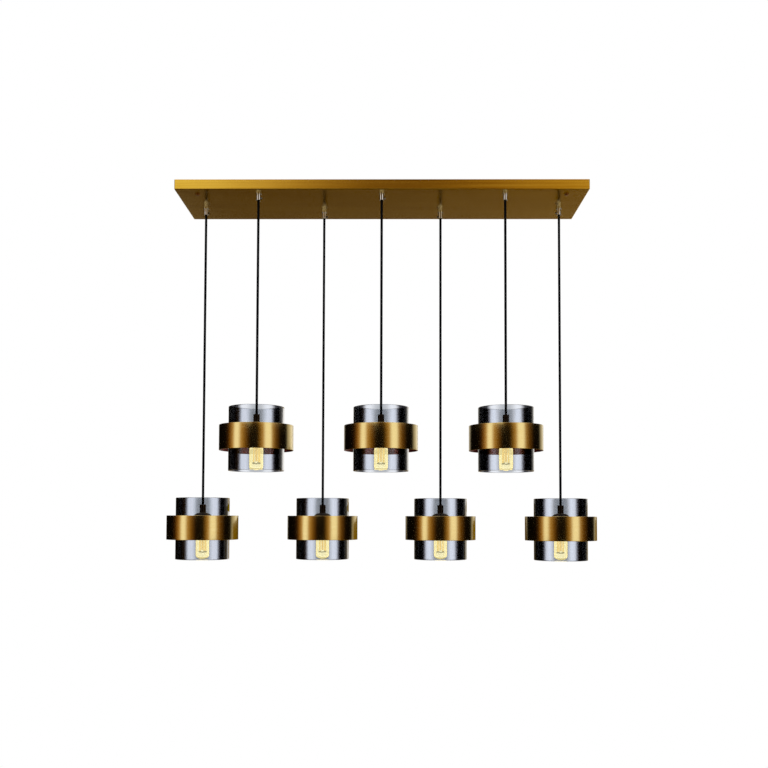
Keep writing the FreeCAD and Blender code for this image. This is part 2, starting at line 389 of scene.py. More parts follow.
# %% [markdown]
# ## Brushed and lacquered brass
# The bands are rolled brass, brushed round their circumference and lacquered. Brushing leaves fine
# parallel scratches that lie across the light, so a reflection stays crisp round the band but smears
# up and down it. That is why the bands show upright stripes of light and dark. The scratches are a
# stretched noise, long round the band and short upright. Real scratches are a tenth of a millimetre
# wide; these are drawn as coarse as they need to show. The pan is brushed along its length and
# antiqued to a yellower tone. Brass is a metal, so its colour is the colour of its mirror.

# %% Brass materials
scratch_depth = 0.05 * mm
clouds_per_metre = 9.0       # slow drifts of tone, about a hand wide
cloud_share = 0.3
cloud_level = 0.77           # brings the two noises together back to between 0 and 1
roughness_spread = 0.03


def brushed_brass(name, pale, deep, scratch, roughness, stretch, coat):
    """Brass with scratches along one direction. Stretch is the noise scale along X, Y and Z."""
    material, tree, shader = new_material(name)
    place = add_node(tree, "ShaderNodeTexCoord").outputs["Object"]
    scaled = add_node(tree, "ShaderNodeMapping", inputs={"Vector": place, "Scale": stretch})
    fine = add_node(
        tree, "ShaderNodeTexNoise",
        inputs={"Vector": scaled.outputs["Vector"], "Scale": 1 / scratch, "Detail": 5.0},
    )
    cloud = add_node(
        tree, "ShaderNodeTexNoise", inputs={"Vector": place, "Scale": clouds_per_metre, "Detail": 3.0}
    )
    mixed = add_node(
        tree, "ShaderNodeMath", {"operation": "MULTIPLY_ADD"},
        {0: cloud.outputs["Fac"], 1: cloud_share, 2: fine.outputs["Fac"]},
    )
    levelled = add_node(
        tree, "ShaderNodeMath", {"operation": "MULTIPLY"},
        {0: mixed.outputs["Value"], 1: cloud_level},
    )
    colour = add_node(
        tree, "ShaderNodeValToRGB", inputs={"Fac": levelled.outputs["Value"]},
        stops=[(0.3, deep), (0.7, pale)],
    )
    low, high = roughness - roughness_spread, roughness + roughness_spread
    gloss = add_node(
        tree, "ShaderNodeMapRange", inputs={"Value": fine.outputs["Fac"], "To Min": low, "To Max": high}
    )
    bump = add_node(
        tree, "ShaderNodeBump",
        inputs={"Height": fine.outputs["Fac"], "Strength": 0.04, "Distance": scratch_depth},
    )
    set_inputs(tree, shader, {
        "Base Color": colour.outputs["Color"], "Roughness": gloss.outputs["Result"],
        "Normal": bump.outputs["Normal"], "Metallic": 1.0,
        "Coat Weight": coat, "Coat Roughness": 0.08,
    })
    return material


band_brass = brushed_brass(
    "brushed_lacquered_brass", "#D6C286", "#CEB574", 1.5 * mm, 0.17, (0.05, 0.05, 1.0), 0.3
)
pan_brass = brushed_brass(
    "brushed_antique_brass", "#DCBC50", "#BC962A", 3.0 * mm, 0.22, (0.01, 1.0, 1.0), 0.05
)
screw_brass = brushed_brass("turned_brass", "#B98A50", "#8A5E30", 0.5 * mm, 0.22, (1.0, 1.0, 0.2), 0.0)

# %% [markdown]
# ## Lacquers, plated steel and plastics
# The inside of each band is a dark red-brown, painted shade for the band's shaded inner face,
# which shows as a dark crescent from below. The carrier disc and the lampholder are steel in a dark
# bronze lacquer. The grips are polished chrome. Their screws, the nuts, bracket and spacers are
# zinc-plated steel, which has a faint crystal mottle. The terminal block is moulded polyamide.

# %% The other solid materials
def mottled(name, pale, deep, size, metallic, roughness, spread, bump_depth):
    """A finish whose colour and gloss wander over patches of a real size."""
    material, tree, shader = new_material(name)
    place = add_node(tree, "ShaderNodeTexCoord").outputs["Object"]
    noise = add_node(tree, "ShaderNodeTexNoise", inputs={"Vector": place, "Scale": 1 / size, "Detail": 6.0})
    patch = noise.outputs["Fac"]
    colour = add_node(tree, "ShaderNodeValToRGB", inputs={"Fac": patch}, stops=[(0.3, deep), (0.7, pale)])
    low, high = roughness - spread, roughness + spread
    gloss = add_node(tree, "ShaderNodeMapRange", inputs={"Value": patch, "To Min": low, "To Max": high})
    bump = add_node(
        tree, "ShaderNodeBump", inputs={"Height": patch, "Strength": 0.2, "Distance": bump_depth}
    )
    set_inputs(tree, shader, {
        "Base Color": colour.outputs["Color"], "Roughness": gloss.outputs["Result"],
        "Normal": bump.outputs["Normal"], "Metallic": metallic,
    })
    return material


band_inside_painted_shade = mottled(
    "painted_shade_band_inside_red_brown", "#84201A", "#5C100C", 2.0 * mm, 0.5, 0.4, 0.06, 0.03 * mm
)
disc_bronze = mottled("dark_bronze_lacquer", "#3A1A12", "#220C08", 2.0 * mm, 0.7, 0.4, 0.08, 0.05 * mm)
holder_bronze = mottled(
    "dark_bronze_on_steel", "#35261A", "#1E140C", 1.5 * mm, 0.85, 0.32, 0.08, 0.04 * mm
)
skirt_plastic = mottled(
    "black_phenolic_moulding", "#1C1A19", "#100F0E", 1.0 * mm, 0.0, 0.42, 0.06, 0.03 * mm
)
chrome = mottled("polished_chrome", "#DADBDD", "#C8CACD", 3.0 * mm, 1.0, 0.1, 0.04, 0.01 * mm)
zinc = mottled("zinc_plated_steel", "#A9ABAD", "#8C8F93", 4.0 * mm, 1.0, 0.38, 0.1, 0.03 * mm)
polyamide = mottled("natural_polyamide", "#E4E1D6", "#D8D4C6", 1.5 * mm, 0.0, 0.5, 0.06, 0.03 * mm)
print("materials:", len(bpy.data.materials))

# %% [markdown]
# ## Smoke glass
# The glass is blown soda-lime, coloured grey. Its tint paints its reflections by the angle of view,
# so it is a window and a painted dim mirror at once. Seen square on it passes a soft grey light; a
# little way round it is paler, a painted highlight; further round, along its wall, it goes nearly
# black, a painted reflection of dark surroundings; and at the very rim it is pale again. Layer
# Weight is that angle, so it drives the tint. Such glass has an index of 1.5, but its mirror is
# painted into the tint already, so the index is set lower and the rims stay clean.

# %% The glass
ripples_per_metre = 18.0     # blown glass waves slightly, every five or six centimetres


def smoke_glass():
    material, tree, shader = new_material("smoke_grey_glass_painted_reflection")
    angle = add_node(tree, "ShaderNodeLayerWeight", inputs={"Blend": 0.5}).outputs["Facing"]
    place = add_node(tree, "ShaderNodeTexCoord").outputs["Object"]
    ripple = add_node(
        tree, "ShaderNodeTexNoise", inputs={"Vector": place, "Scale": ripples_per_metre, "Detail": 2.0}
    )
    # Painted reflection: the pale stops are painted highlights, and the near-black stops a painted dark
    # reflection.
    tint = add_node(tree, "ShaderNodeValToRGB", inputs={"Fac": angle}, stops=[
        (0.0, "#B4B8BE"), (0.02, "#BCC0C6"), (0.05, "#E8ECF4"), (0.16, "#E0E4EC"), (0.22, "#6A6A70"),
        (0.27, "#0C0C0E"), (0.42, "#0C0C0E"), (0.5, "#7A7C80"), (0.62, "#D0D0D2"),
    ])
    gloss = add_node(
        tree, "ShaderNodeMapRange", inputs={"Value": ripple.outputs["Fac"], "To Min": 0.0, "To Max": 0.012}
    )
    set_inputs(tree, shader, {
        "Base Color": tint.outputs["Color"], "Roughness": gloss.outputs["Result"],
        "Transmission Weight": 1.0, "IOR": 1.3,
    })
    return material


smoke = smoke_glass()
print("the glass is", smoke.name)

# %% [markdown]
# ## The band
# A strip of brass rolled to a ring, its ends brazed and its two rims softened. The carrier disc is
# pressed from steel and sits in it, its turned-down flange against the wall. Three small stops keep
# the upper glass in the middle. The band's inner faces take a second material, the dark red-brown
# painted shade of its inside.

# %% Make the bands and discs
band_radius = 80.0 * mm
band_wall = 1.5 * mm
band_height = 54.0 * mm
glass_radius = 60.0 * mm
glass_wall = 3.0 * mm
glass_bore = glass_radius - glass_wall
disc_thickness = 2.0 * mm
disc_top = -10.0 * mm        # heights are measured from the top of the band
disc_bottom = disc_top - disc_thickness
slip = 0.1 * mm              # between pieces that slide together when assembled
clearance = 0.5 * mm         # round pieces that drop in
disc_radius = band_radius - band_wall - slip
flange_height = 12.0 * mm
skirt_radius = 20.0 * mm
hole_radius = skirt_radius + clearance
stop_count = 3
stop_height = 4.0 * mm
stop_width = 6.0 * mm
stop_sink = 0.2 * mm         # the stops are formed out of the disc, so they start inside it


def make_band(shade):
    outline = rounded([
        (band_radius, 0), (band_radius, -band_height),
        (band_radius - band_wall, -band_height), (band_radius - band_wall, 0),
    ], 0.5 * mm)
    mesh = turned_mesh("band", outline, *shade.where, sides=160)
    piece = object_of(f"brass_band_rolled_{shade.number}", mesh, band_brass, shade.body)
    # The inner faces get the painted shade: a dark red-brown for the shaded inside of the band.
    mesh.materials.append(band_inside_painted_shade)
    inner_limit = band_radius - 0.7 * band_wall
    for polygon in mesh.polygons:
        radius = math.hypot(polygon.center.x - shade.x, polygon.center.y - shade.y)
        polygon.material_index = 1 if radius < inner_limit else 0
    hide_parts(f"brass_band_{shade.number}")


def make_disc(shade):
    foot = disc_bottom - flange_height
    outline = rounded([
        (hole_radius, disc_top, 0.3 * mm), (disc_radius, disc_top, 2.5 * mm),
        (disc_radius, foot, 0.5 * mm), (disc_radius - disc_thickness, foot, 0.5 * mm),
        (disc_radius - disc_thickness, disc_bottom, 1.5 * mm), (hole_radius, disc_bottom, 0.3 * mm),
    ], 0.3 * mm)
    meshes = [turned_mesh("disc", outline, *shade.where, sides=128)]
    stop_outer = glass_bore - clearance
    for n in range(stop_count):
        angle = math.radians(90 + 360 / stop_count * n)
        stop = block_mesh(
            "stop", (stop_outer - disc_thickness, -stop_width / 2, disc_top - stop_sink),
            (stop_outer, stop_width / 2, disc_top + stop_height), 0.5 * mm,
        )
        for vertex in stop.vertices:
            x, y, z = vertex.co
            vertex.co = (
                shade.x + x * math.cos(angle) - y * math.sin(angle),
                shade.y + x * math.sin(angle) + y * math.cos(angle), shade.band_top + z,
            )
        meshes.append(stop)
    piece = object_of(
        f"carrier_disc_pressed_{shade.number}", joined("disc", meshes), disc_bronze,
        shade.body,
    )
    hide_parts(f"carrier_disc_{shade.number}")


for shade in shades:
    make_band(shade)
    make_disc(shade)
print("bands and discs:", 2 * shade_count)

# %% [markdown]
# ## The two glasses
# The upper glass is an open tube that stands on the disc. The lower glass is a cup, open below, with
# a hole in its flat top for the lampholder. Both are closed meshes with a real wall, because light
# bends at both faces of a wall, and their cut ends are fire-polished, which rounds them fully.

# %% Make the glasses
upper_glass_rise = 40.0 * mm
lower_glass_drop = 44.5 * mm
shoulder = 6.0 * mm


def make_upper_glass(shade):
    outline = rounded([
        (glass_radius, upper_glass_rise, 1.4 * mm), (glass_radius, disc_top, 0.6 * mm),
        (glass_bore, disc_top, 0.6 * mm), (glass_bore, upper_glass_rise, 1.4 * mm),
    ], 1.0 * mm, steps=4)
    mesh = turned_mesh("upper_glass", outline, *shade.where, sides=160)
    piece = object_of(f"upper_glass_blown_{shade.number}", mesh, smoke, shade.body)
    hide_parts(f"upper_glass_{shade.number}")


def make_lower_glass(shade):
    bottom = -band_height - lower_glass_drop
    ceiling = disc_bottom - glass_wall
    outline = rounded([
        (hole_radius, disc_bottom, 0.5 * mm), (glass_radius, disc_bottom, shoulder),
        (glass_radius, bottom, 1.4 * mm), (glass_bore, bottom, 1.4 * mm),
        (glass_bore, ceiling, shoulder - glass_wall), (hole_radius, ceiling, 0.5 * mm),
    ], 1.0 * mm, steps=5)
    mesh = turned_mesh("lower_glass", outline, *shade.where, sides=160)
    piece = object_of(f"lower_glass_blown_{shade.number}", mesh, smoke, shade.body)
    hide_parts(f"lower_glass_{shade.number}")


for shade in shades:
    make_upper_glass(shade)
    make_lower_glass(shade)
print("glasses:", 2 * shade_count)

# %% [markdown]
# ## The lampholder
# A metal cap with a collar that grips the cord, a black moulded skirt that holds the screw shell,
# and a threaded ring that clamps the glass under the disc. Only the collar shows above the band, but
# the rest is seen from below through the open glass.

# %% Make the lampholders
collar_radius = 7.0 * mm
collar_rise = 24.0 * mm
cap_top = 7.0 * mm
flange_radius = 23.0 * mm
cap_flange = 3.0 * mm
skirt_bottom = -46.0 * mm
socket_radius = 13.3 * mm
socket_top = -14.5 * mm
mouth_radius = 16.5 * mm
mouth_height = 4.0 * mm
ring_radius = 29.0 * mm
ring_height = 5.0 * mm
ring_wall = 2.5 * mm
groove_depth = 0.5 * mm
groove_width = 1.0 * mm
groove_drops = (6.0 * mm, 8.0 * mm)
ridge_drop = 12.0 * mm       # the skirt's thread starts this far below the disc's top
ridge_pitch = 2.0 * mm
ridge_depth = 0.6 * mm
ridge_count = 8


def notch(radius, height, depth, width):
    """A groove in an outline, from this height down."""
    return [
        (radius, height, 0.2 * mm), (radius - depth, height - width / 2, 0.2 * mm),
        (radius, height - width, 0.2 * mm),
    ]


def cap_outline():
    """The collar with two turned grooves, the dome, and the flange that rests on the disc."""
    outline = [(0, collar_rise), (collar_radius, collar_rise, 1.0 * mm)]
    for drop in groove_drops:
        outline += notch(collar_radius, collar_rise - drop, groove_depth, groove_width)
    outline += [(collar_radius, cap_top, 1.2 * mm)]
    dome_steps = 8
    for n in range(1, dome_steps + 1):
        t = n / dome_steps
        radius = collar_radius + (flange_radius - collar_radius) * math.sin(t * math.pi / 2)
        height = cap_top + (disc_top + cap_flange - cap_top) * (1 - math.cos(t * math.pi / 2))
        outline.append((radius, height, 0))
    outline += [(flange_radius, disc_top, 0.5 * mm), (skirt_radius, disc_top, 0.2 * mm), (0, disc_top)]
    return rounded(outline, 0.3 * mm, closed=False)


def skirt_outline():
    """The moulded skirt, its screw thread drawn as fine ridges, and the socket inside."""
    outline = [(0, disc_top - slip), (skirt_radius, disc_top - slip, 0.3 * mm)]
    for n in range(ridge_count):
        height = disc_top - ridge_drop - n * ridge_pitch
        outline += notch(skirt_radius, height, ridge_depth, 0.7 * ridge_pitch)
    outline += [
        (skirt_radius, skirt_bottom, 1.0 * mm), (mouth_radius, skirt_bottom, 0.6 * mm),
        (mouth_radius, skirt_bottom + mouth_height, 0.3 * mm),
        (socket_radius, skirt_bottom + mouth_height, 0.3 * mm),
        (socket_radius, socket_top, 0.3 * mm), (0, socket_top),
    ]
    return rounded(outline, 0.3 * mm, steps=2, closed=False)


def ring_outline():
    """The clamping ring: a flat flange under the glass, and a short collar on the skirt's thread."""
    inner = skirt_radius + slip
    top = disc_bottom - glass_wall
    return rounded([
        (inner, top), (ring_radius, top), (ring_radius, top - ring_wall),
        (inner + ring_wall, top - ring_wall), (inner + ring_wall, top - ring_height),
        (inner, top - ring_height),
    ], 0.6 * mm)


def make_lampholder(shade):
    for part, outline, closed, material in (
        ("cap", cap_outline(), False, holder_bronze),
        ("skirt", skirt_outline(), False, skirt_plastic),
        ("ring", ring_outline(), True, skirt_plastic),
    ):
        mesh = turned_mesh(part, outline, *shade.where, sides=64, closed=closed)
        name = f"holder_{part}_{shade.number}"
        object_of(name, mesh, material, shade.body)
    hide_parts(f"lampholder_{shade.number}")


for shade in shades:
    make_lampholder(shade)
print("lampholders:", shade_count)

# %% [markdown]
# ## The bulb
# A tubular filament bulb: a thin clear envelope on a brass screw cap, and inside it a glass stem and
# upright filament rods joined by wires. The rods glow. Real filaments are far brighter than the
# picture can hold, so they get a modest glow, and the envelope a faint warm one that stands for the
# light it scatters.

# %% Bulb materials
def glowing(name, colour, glow, strength, size):
    """A lit surface. It isn't sampled as a lamp, because it is too faint to light its neighbours."""
    material, tree, shader = new_material(name)
    place = add_node(tree, "ShaderNodeTexCoord").outputs["Object"]
    noise = add_node(tree, "ShaderNodeTexNoise", inputs={"Vector": place, "Scale": 1 / size, "Detail": 2.0})
    light = add_node(
        tree, "ShaderNodeValToRGB", inputs={"Fac": noise.outputs["Fac"]},
        stops=[(0.35, glow), (0.65, colour)],
    )
    set_inputs(tree, shader, {
        "Base Color": linear(colour), "Roughness": 0.5,
        "Emission Color": light.outputs["Color"], "Emission Strength": strength,
    })
    material.cycles.emission_sampling = "NONE"
    return material


def warm_envelope():
    material, tree, shader = new_material("thin_clear_bulb_glass")
    angle = add_node(tree, "ShaderNodeLayerWeight", inputs={"Blend": 0.4}).outputs["Facing"]
    tint = add_node(
        tree, "ShaderNodeValToRGB", inputs={"Fac": angle},
        stops=[(0.0, "#FFFAE8"), (0.7, "#F6EAB8"), (1.0, "#D8C888")],
    )
    warmth = add_node(
        tree, "ShaderNodeValToRGB", inputs={"Fac": angle}, stops=[(0.0, "#FFF3BC"), (1.0, "#F0DC90")]
    )
    set_inputs(tree, shader, {
        "Base Color": tint.outputs["Color"], "Roughness": 0.02,
        "Emission Color": warmth.outputs["Color"], "Emission Strength": 0.4,
        "Transmission Weight": 1.0, "IOR": 1.2,
    })
    material.cycles.emission_sampling = "NONE"
    return material


filament_glow = glowing("glowing_filament", "#E0C060", "#C89C34", 0.6, 1.5 * mm)
stem_glow = glowing("lit_glass_stem", "#E0B850", "#C89C30", 0.4, 4.0 * mm)
envelope_glass = warm_envelope()
solder = mottled("filament_joint_metal", "#4A3812", "#2E2208", 1.0 * mm, 0.8, 0.45, 0.1, 0.02 * mm)
cap_brass = brushed_brass("plated_screw_cap", "#D8B25A", "#B08A38", 0.5 * mm, 0.25, (0.2, 0.2, 1.0), 0.0)
print("materials:", len(bpy.data.materials))

# %% Make the bulbs
bulb_radius = 15.0 * mm
bulb_length = 82.0 * mm
bulb_wall = 0.8 * mm
bulb_neck = 10.0 * mm
bulb_dome_height = 9.0 * mm
cap_radius = 13.0 * mm
cap_length = 25.0 * mm
cap_crimp = 0.6 * mm
contact_height = 2.0 * mm
contact_radius = 4.5 * mm
cap_thread_depth = 0.7 * mm
cap_thread_turns = 5
cap_sides = 48
filament_count = 4
filament_radius = 1.0 * mm
filament_length = 31.0 * mm
filament_drop = 6.0 * mm     # below the screw cap
filament_ring = 5.5 * mm     # the radius on which the filaments stand
wire_radius = 0.5 * mm
joint_radius = 1.7 * mm
joint_length = 3.0 * mm
hub_radius = 2.4 * mm
hub_drops = (1.4 * mm, 3.6 * mm)
stem_tail = 4.0 * mm         # the stem ends this far below the filaments' length


def envelope_outline():
    """The envelope: a neck out of the cap, a straight tube and a round tip, with a thin wall."""
    neck_top = socket_top - contact_height - cap_length + 1.0 * mm
    tube_top = neck_top - bulb_neck
    tip = socket_top - bulb_length
    outer = [(cap_radius - cap_crimp, neck_top), (bulb_radius, tube_top, 6.0 * mm)]
    dome_steps = 8
    for n in range(dome_steps + 1):
        t = n / dome_steps * math.pi / 2
        outer.append((bulb_radius * math.cos(t), tip + bulb_dome_height * (1 - math.sin(t)), 0))
    outer = rounded(outer, 0, closed=False)
    inner = [Vector((max(point[0] - bulb_wall, 0.0), point[1])) for point in reversed(outer)]
    inner = [Vector((p[0], max(p[1], tip + bulb_wall))) for p in inner if p[0] > 1e-6]
    inner.insert(0, Vector((0.0, tip + bulb_wall)))
    outer[-1] = Vector((0.0, tip))
    return outer + inner


def screw_cap_mesh(x, y, z):
    """The threaded cap: each turn of the thread is a smooth wave that climbs as it goes round."""
    top = z + socket_top - contact_height
    build = bmesh.new()
    rows = 60
    grid = []
    for radius in (contact_radius / 2, contact_radius):
        grid.append(ring_of(build, x, y, z + socket_top, cap_sides, lambda angle: radius))
    for row in range(rows + 1):
        share = row / rows
        depth = cap_thread_depth * min(1.0, 6 * share, 6 * (1 - share))
        turned = 2 * math.pi * cap_thread_turns * share
        grid.append(ring_of(
            build, x, y, top - cap_length * share, cap_sides,
            lambda angle: cap_radius - depth * (0.5 - 0.5 * math.cos(turned + angle)),
        ))
    for lower, upper in zip(grid, grid[1:]):
        skin(build, lower, upper)
    build.faces.new(grid[0])
    build.faces.new(grid[-1])
    return mesh_from("screw_cap", build)


def rod_mesh(name, radius, bottom, top, x, y):
    soft = min(radius * 0.6, (top - bottom) * 0.3)
    outline = rounded([(0, bottom), (radius, bottom, soft), (radius, top, soft), (0, top)], 0, closed=False)
    return turned_mesh(name, outline, x, y, sides=16, closed=False)


def make_bulb(shade):
    body = f"lamp_{shade.number}"
    cap_bottom = shade.band_top + socket_top - contact_height - cap_length
    filament_top = cap_bottom - filament_drop
    filament_bottom = filament_top - filament_length
    envelope = object_of(
        f"bulb_envelope_{shade.number}",
        turned_mesh("envelope", envelope_outline(), *shade.where, sides=64, closed=False),
        envelope_glass, body,
    )
    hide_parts(f"bulb_{shade.number}")
    object_of(f"bulb_screw_cap_{shade.number}", screw_cap_mesh(*shade.where), cap_brass, body)
    stem_end = -filament_length - stem_tail
    stem = rounded([
        (0, 0.5 * mm), (6.0 * mm, 0.5 * mm, 0.5 * mm), (4.0 * mm, -5.0 * mm, 2.0 * mm),
        (1.6 * mm, -9.0 * mm, 2.0 * mm), (1.4 * mm, stem_end, 0.5 * mm), (0, stem_end),
    ], 0.3 * mm, closed=False)
    object_of(
        f"bulb_stem_{shade.number}",
        turned_mesh("stem", stem, shade.x, shade.y, cap_bottom, sides=24, closed=False),
        stem_glow, body,
    )
    rods = []
    joints = []
    for n in range(filament_count):
        angle = math.radians(45 + 360 / filament_count * n)
        x = shade.x + filament_ring * math.cos(angle)
        y = shade.y + filament_ring * math.sin(angle)
        rods.append(rod_mesh("rod", filament_radius, filament_bottom, filament_top, x, y))
        joint_bottom = filament_bottom - joint_length
        joints.append(rod_mesh("joint", joint_radius, joint_bottom, filament_bottom, x, y))
        joints.append(rod_mesh("wire", wire_radius, filament_top, cap_bottom - 1.0 * mm, x, y))
    hub_top, hub_bottom = (filament_bottom - drop for drop in hub_drops)
    joints.append(rod_mesh("hub", hub_radius, hub_bottom, hub_top, shade.x, shade.y))
    object_of(f"bulb_filaments_{shade.number}", joined("rods", rods), filament_glow, body)
    object_of(f"bulb_joints_{shade.number}", joined("joints", joints), solder, body)


for shade in shades:
    make_bulb(shade)
print("bulbs:", shade_count)

# %% [markdown]
# ## The ceiling pan
# A tray folded from brass sheet with small soft bends, open towards the ceiling. The bends catch a
# thin line of light along the front edge, so they are modelled and not left to a bump. Its holes are
# hidden by the grips and the screws, and the hidden side shows the bracket and the nuts.

# %% Make the pan
pan_wall = 1.5 * mm
pan_bend = 2.0 * mm
bend_steps = 5
flat_area = 0.01             # square metres; a face this large is a flat side and stays flat


def pan_ring(inset, radius, z):
    """Points round the pan's rectangle, with round corners, at one height."""
    points = []
    x0, y0 = pan_low[0] + inset, pan_low[1] + inset
    x1, y1 = pan_high[0] - inset, pan_high[1] - inset
    for x, y, start in ((x1, y1, 0), (x0, y1, 90), (x0, y0, 180), (x1, y0, 270)):
        centre_x = x - math.copysign(radius, x)
        centre_y = y - math.copysign(radius, y)
        for step in range(bend_steps + 1):
            angle = math.radians(start + 90 * step / bend_steps)
            points.append((centre_x + radius * math.cos(angle), centre_y + radius * math.sin(angle), z))
    return points


def pan_mesh():
    """Rings of points from the rim down the outside, across the floor and up the inside."""
    top, bottom = pan_high[2], pan_low[2]
    rings = [pan_ring(0.0, pan_bend, top)]
    for step in range(bend_steps + 1):
        angle = math.pi / 2 * step / bend_steps
        inset = pan_bend * (1 - math.cos(angle))
        height = bottom + pan_bend * (1 - math.sin(angle))
        rings.append(pan_ring(inset, max(pan_bend - inset, 0.05 * mm), height))
    for height in (bottom + pan_wall, top):
        rings.append(pan_ring(pan_wall, pan_bend - pan_wall, height))
    build = bmesh.new()
    *outside, floor, rim = [[build.verts.new(point) for point in ring] for ring in rings]
    for lower, upper in zip(outside, outside[1:]):
        skin(build, lower, upper)
    build.faces.new(outside[-1])
    build.faces.new(floor)
    skin(build, floor, rim)
    skin(build, rim, outside[0])
    return mesh_from("pan", build)


pan = object_of("ceiling_pan_folded", pan_mesh(), pan_brass, "canopy")
for polygon in pan.data.polygons:
    polygon.use_smooth = polygon.area < flat_area
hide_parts("canopy_pan")
print("pan", [round((b - a) * 1000) for a, b in zip(pan_low, pan_high)], "mm")

# %% [markdown]
# ## Grips and screws
# Each cord leaves the pan through a turned chrome grip, and a knurled screw in its side pinches the
# cord. The grips are small in the picture, but they are the brightest thing on the pan. The fitter
# turns each grip as it comes, so the screws point to one side, the other, or the back.

# %% Make the grips and screws
grip_radius = 5.0 * mm
grip_flange_radius = 6.5 * mm
grip_flange_height = 2.0 * mm
grip_bore = 3.05 * mm
grip_thread_radius = 4.5 * mm
screw_rise = 4.5 * mm
screw_shank_radius = 1.5 * mm
screw_reach = 1.5 * mm
screw_head_radius = 2.3 * mm
screw_head_length = 3.2 * mm
knurl_count = 24
knurl_share = 0.93           # every other column is pushed in to this share of the radius
screw_sides = {1: 1, 2: 1, 3: 1, 4: 1, 5: -1, 6: 0, 7: -1}   # 1 is right, -1 is left, 0 is the back
fixing_head_radius = 5.0 * mm
fixing_head_rim = 1.0 * mm
fixing_shank_radius = 2.0 * mm


def make_grips():
    pan_bottom = pan_low[2]
    flange_bottom = pan_bottom - grip_flange_height
    thread_top = height_of("cord_grips")[1]
    meshes = []
    for shade in shades:
        outline = rounded([
            (grip_radius, grip_mouth_z, 1.2 * mm), (grip_radius, flange_bottom, 0.5 * mm),
            (grip_flange_radius, flange_bottom, 0.5 * mm), (grip_flange_radius, pan_bottom, 0.2 * mm),
            (grip_thread_radius, pan_bottom, 0.1 * mm), (grip_thread_radius, thread_top, 0.4 * mm),
            (grip_bore, thread_top, 0.2 * mm), (grip_bore, grip_mouth_z, 0.6 * mm),
        ], 0.3 * mm)
        meshes.append(turned_mesh("grip", outline, shade.x, shade.y, 0.0, sides=40))
    piece = object_of("chrome_cord_grips", joined("grips", meshes), chrome, "canopy")
    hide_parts("cord_grips")


def make_grip_screws():
    """Knurled heads: the outline is turned, then every other column is pushed in."""
    meshes = []
    start = grip_radius + slip
    for shade in shades:
        side = screw_sides[shade.number]
        outline = rounded([
            (0, -screw_reach), (screw_shank_radius, -screw_reach, 0),
            (screw_shank_radius, 0, 0.1 * mm), (screw_head_radius, 0, 0.3 * mm),
            (screw_head_radius, screw_head_length, 0.4 * mm), (0, screw_head_length),
        ], 0, closed=False)
        mesh = turned_mesh("screw", outline, sides=2 * knurl_count, closed=False)
        for vertex in mesh.vertices:
            x, y, z = vertex.co
            column = round(math.atan2(y, x) / (math.pi / knurl_count))
            on_head = z > 0 and math.hypot(x, y) > 1.2 * screw_shank_radius
            shrink = knurl_share if column % 2 and on_head else 1.0
            across, up, out = x * shrink, y * shrink, start + z
            height = grip_mouth_z + screw_rise + up
            if side:
                vertex.co = (shade.x + side * out, shade.y + across, height)
            else:
                vertex.co = (shade.x + across, shade.y + out, height)
        meshes.append(mesh)
    mesh = joined("grip_screws", meshes)
    piece = object_of("knurled_grip_screws", mesh, zinc, "canopy")
    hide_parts("grip_screws")


def make_fixing_screws():
    """Round heads under the pan, on plain shanks up to the bracket."""
    low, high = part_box("fixing_screws")
    pan_bottom = pan_low[2]
    rim_z = pan_bottom - fixing_head_rim
    meshes = []
    for x in (low[0] + fixing_head_radius, high[0] - fixing_head_radius):
        outline = [
            (0, high[2]), (fixing_shank_radius, high[2], 0.3 * mm),
            (fixing_shank_radius, pan_bottom, 0), (fixing_head_radius, pan_bottom, 0),
        ]
        dome_steps = 7
        for n in range(dome_steps):
            t = n / dome_steps * math.pi / 2
            outline.append((fixing_head_radius * math.cos(t), rim_z + (low[2] - rim_z) * math.sin(t), 0))
        outline.append((0, low[2]))
        outline = rounded(outline, 0, closed=False)
        meshes.append(turned_mesh("screw", outline, x, (low[1] + high[1]) / 2, 0.0, 32, closed=False))
    piece = object_of(
        "round_head_fixing_screws", joined("screws", meshes), screw_brass, "canopy"
    )
    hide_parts("fixing_screws")


make_grips()
make_grip_screws()
make_fixing_screws()
print("grips and screws made")

# %% [markdown]
# ## The hidden side
# The bracket, spacers, nuts, terminal block and earth stud have the right shape already, so they
# keep it and get their finish.

# %% Finish the measured pieces that stay
finishes = {
    "ceiling_bracket": zinc, "bracket_spacers": zinc, "grip_nuts": zinc,
    "cord_tails": sleeve, "terminal_block": polyamide, "earth_terminal": screw_brass,
}
for node, material in finishes.items():
    piece = frame["nodes"][node]
    piece.data.materials.clear()
    piece.data.materials.append(material)
print("kept as measured:", sorted(finishes))

# %% [markdown]
# ## The white room
# The room is white all round. The camera, the mirrors and the glass see its floor and walls as pure
# white, so there is no horizon. Soft light finds them a little darker, which keeps the shapes.

# %% World and floor
world_fill = 0.7             # the brightness of the world for soft light; it is 1 where it is seen


def seen_directly(tree):
    """1 for a ray from the camera, a mirror or glass, and 0 for soft light."""
    path = add_node(tree, "ShaderNodeLightPath")
    seen = path.outputs["Is Camera Ray"]
    for ray in ("Is Glossy Ray", "Is Transmission Ray"):
        both = add_node(tree, "ShaderNodeMath", {"operation": "MAXIMUM"}, {0: seen, 1: path.outputs[ray]})
        seen = both.outputs["Value"]
    return seen


def matt_white_floor():
    material, tree, shader = new_material("matt_white_floor")
    glow = add_node(tree, "ShaderNodeEmission", inputs={"Color": linear("#FFFFFF"), "Strength": 1.0})
    mix = add_node(
        tree, "ShaderNodeMixShader",
        inputs={"Fac": seen_directly(tree), 1: shader.outputs["BSDF"], 2: glow.outputs["Emission"]},
    )
    set_inputs(tree, tree.nodes["Material Output"], {"Surface": mix.outputs["Shader"]})
    set_inputs(tree, shader, {"Base Color": linear("#F2F2F0"), "Roughness": 0.9})
    material.cycles.emission_sampling = "NONE"
    return material


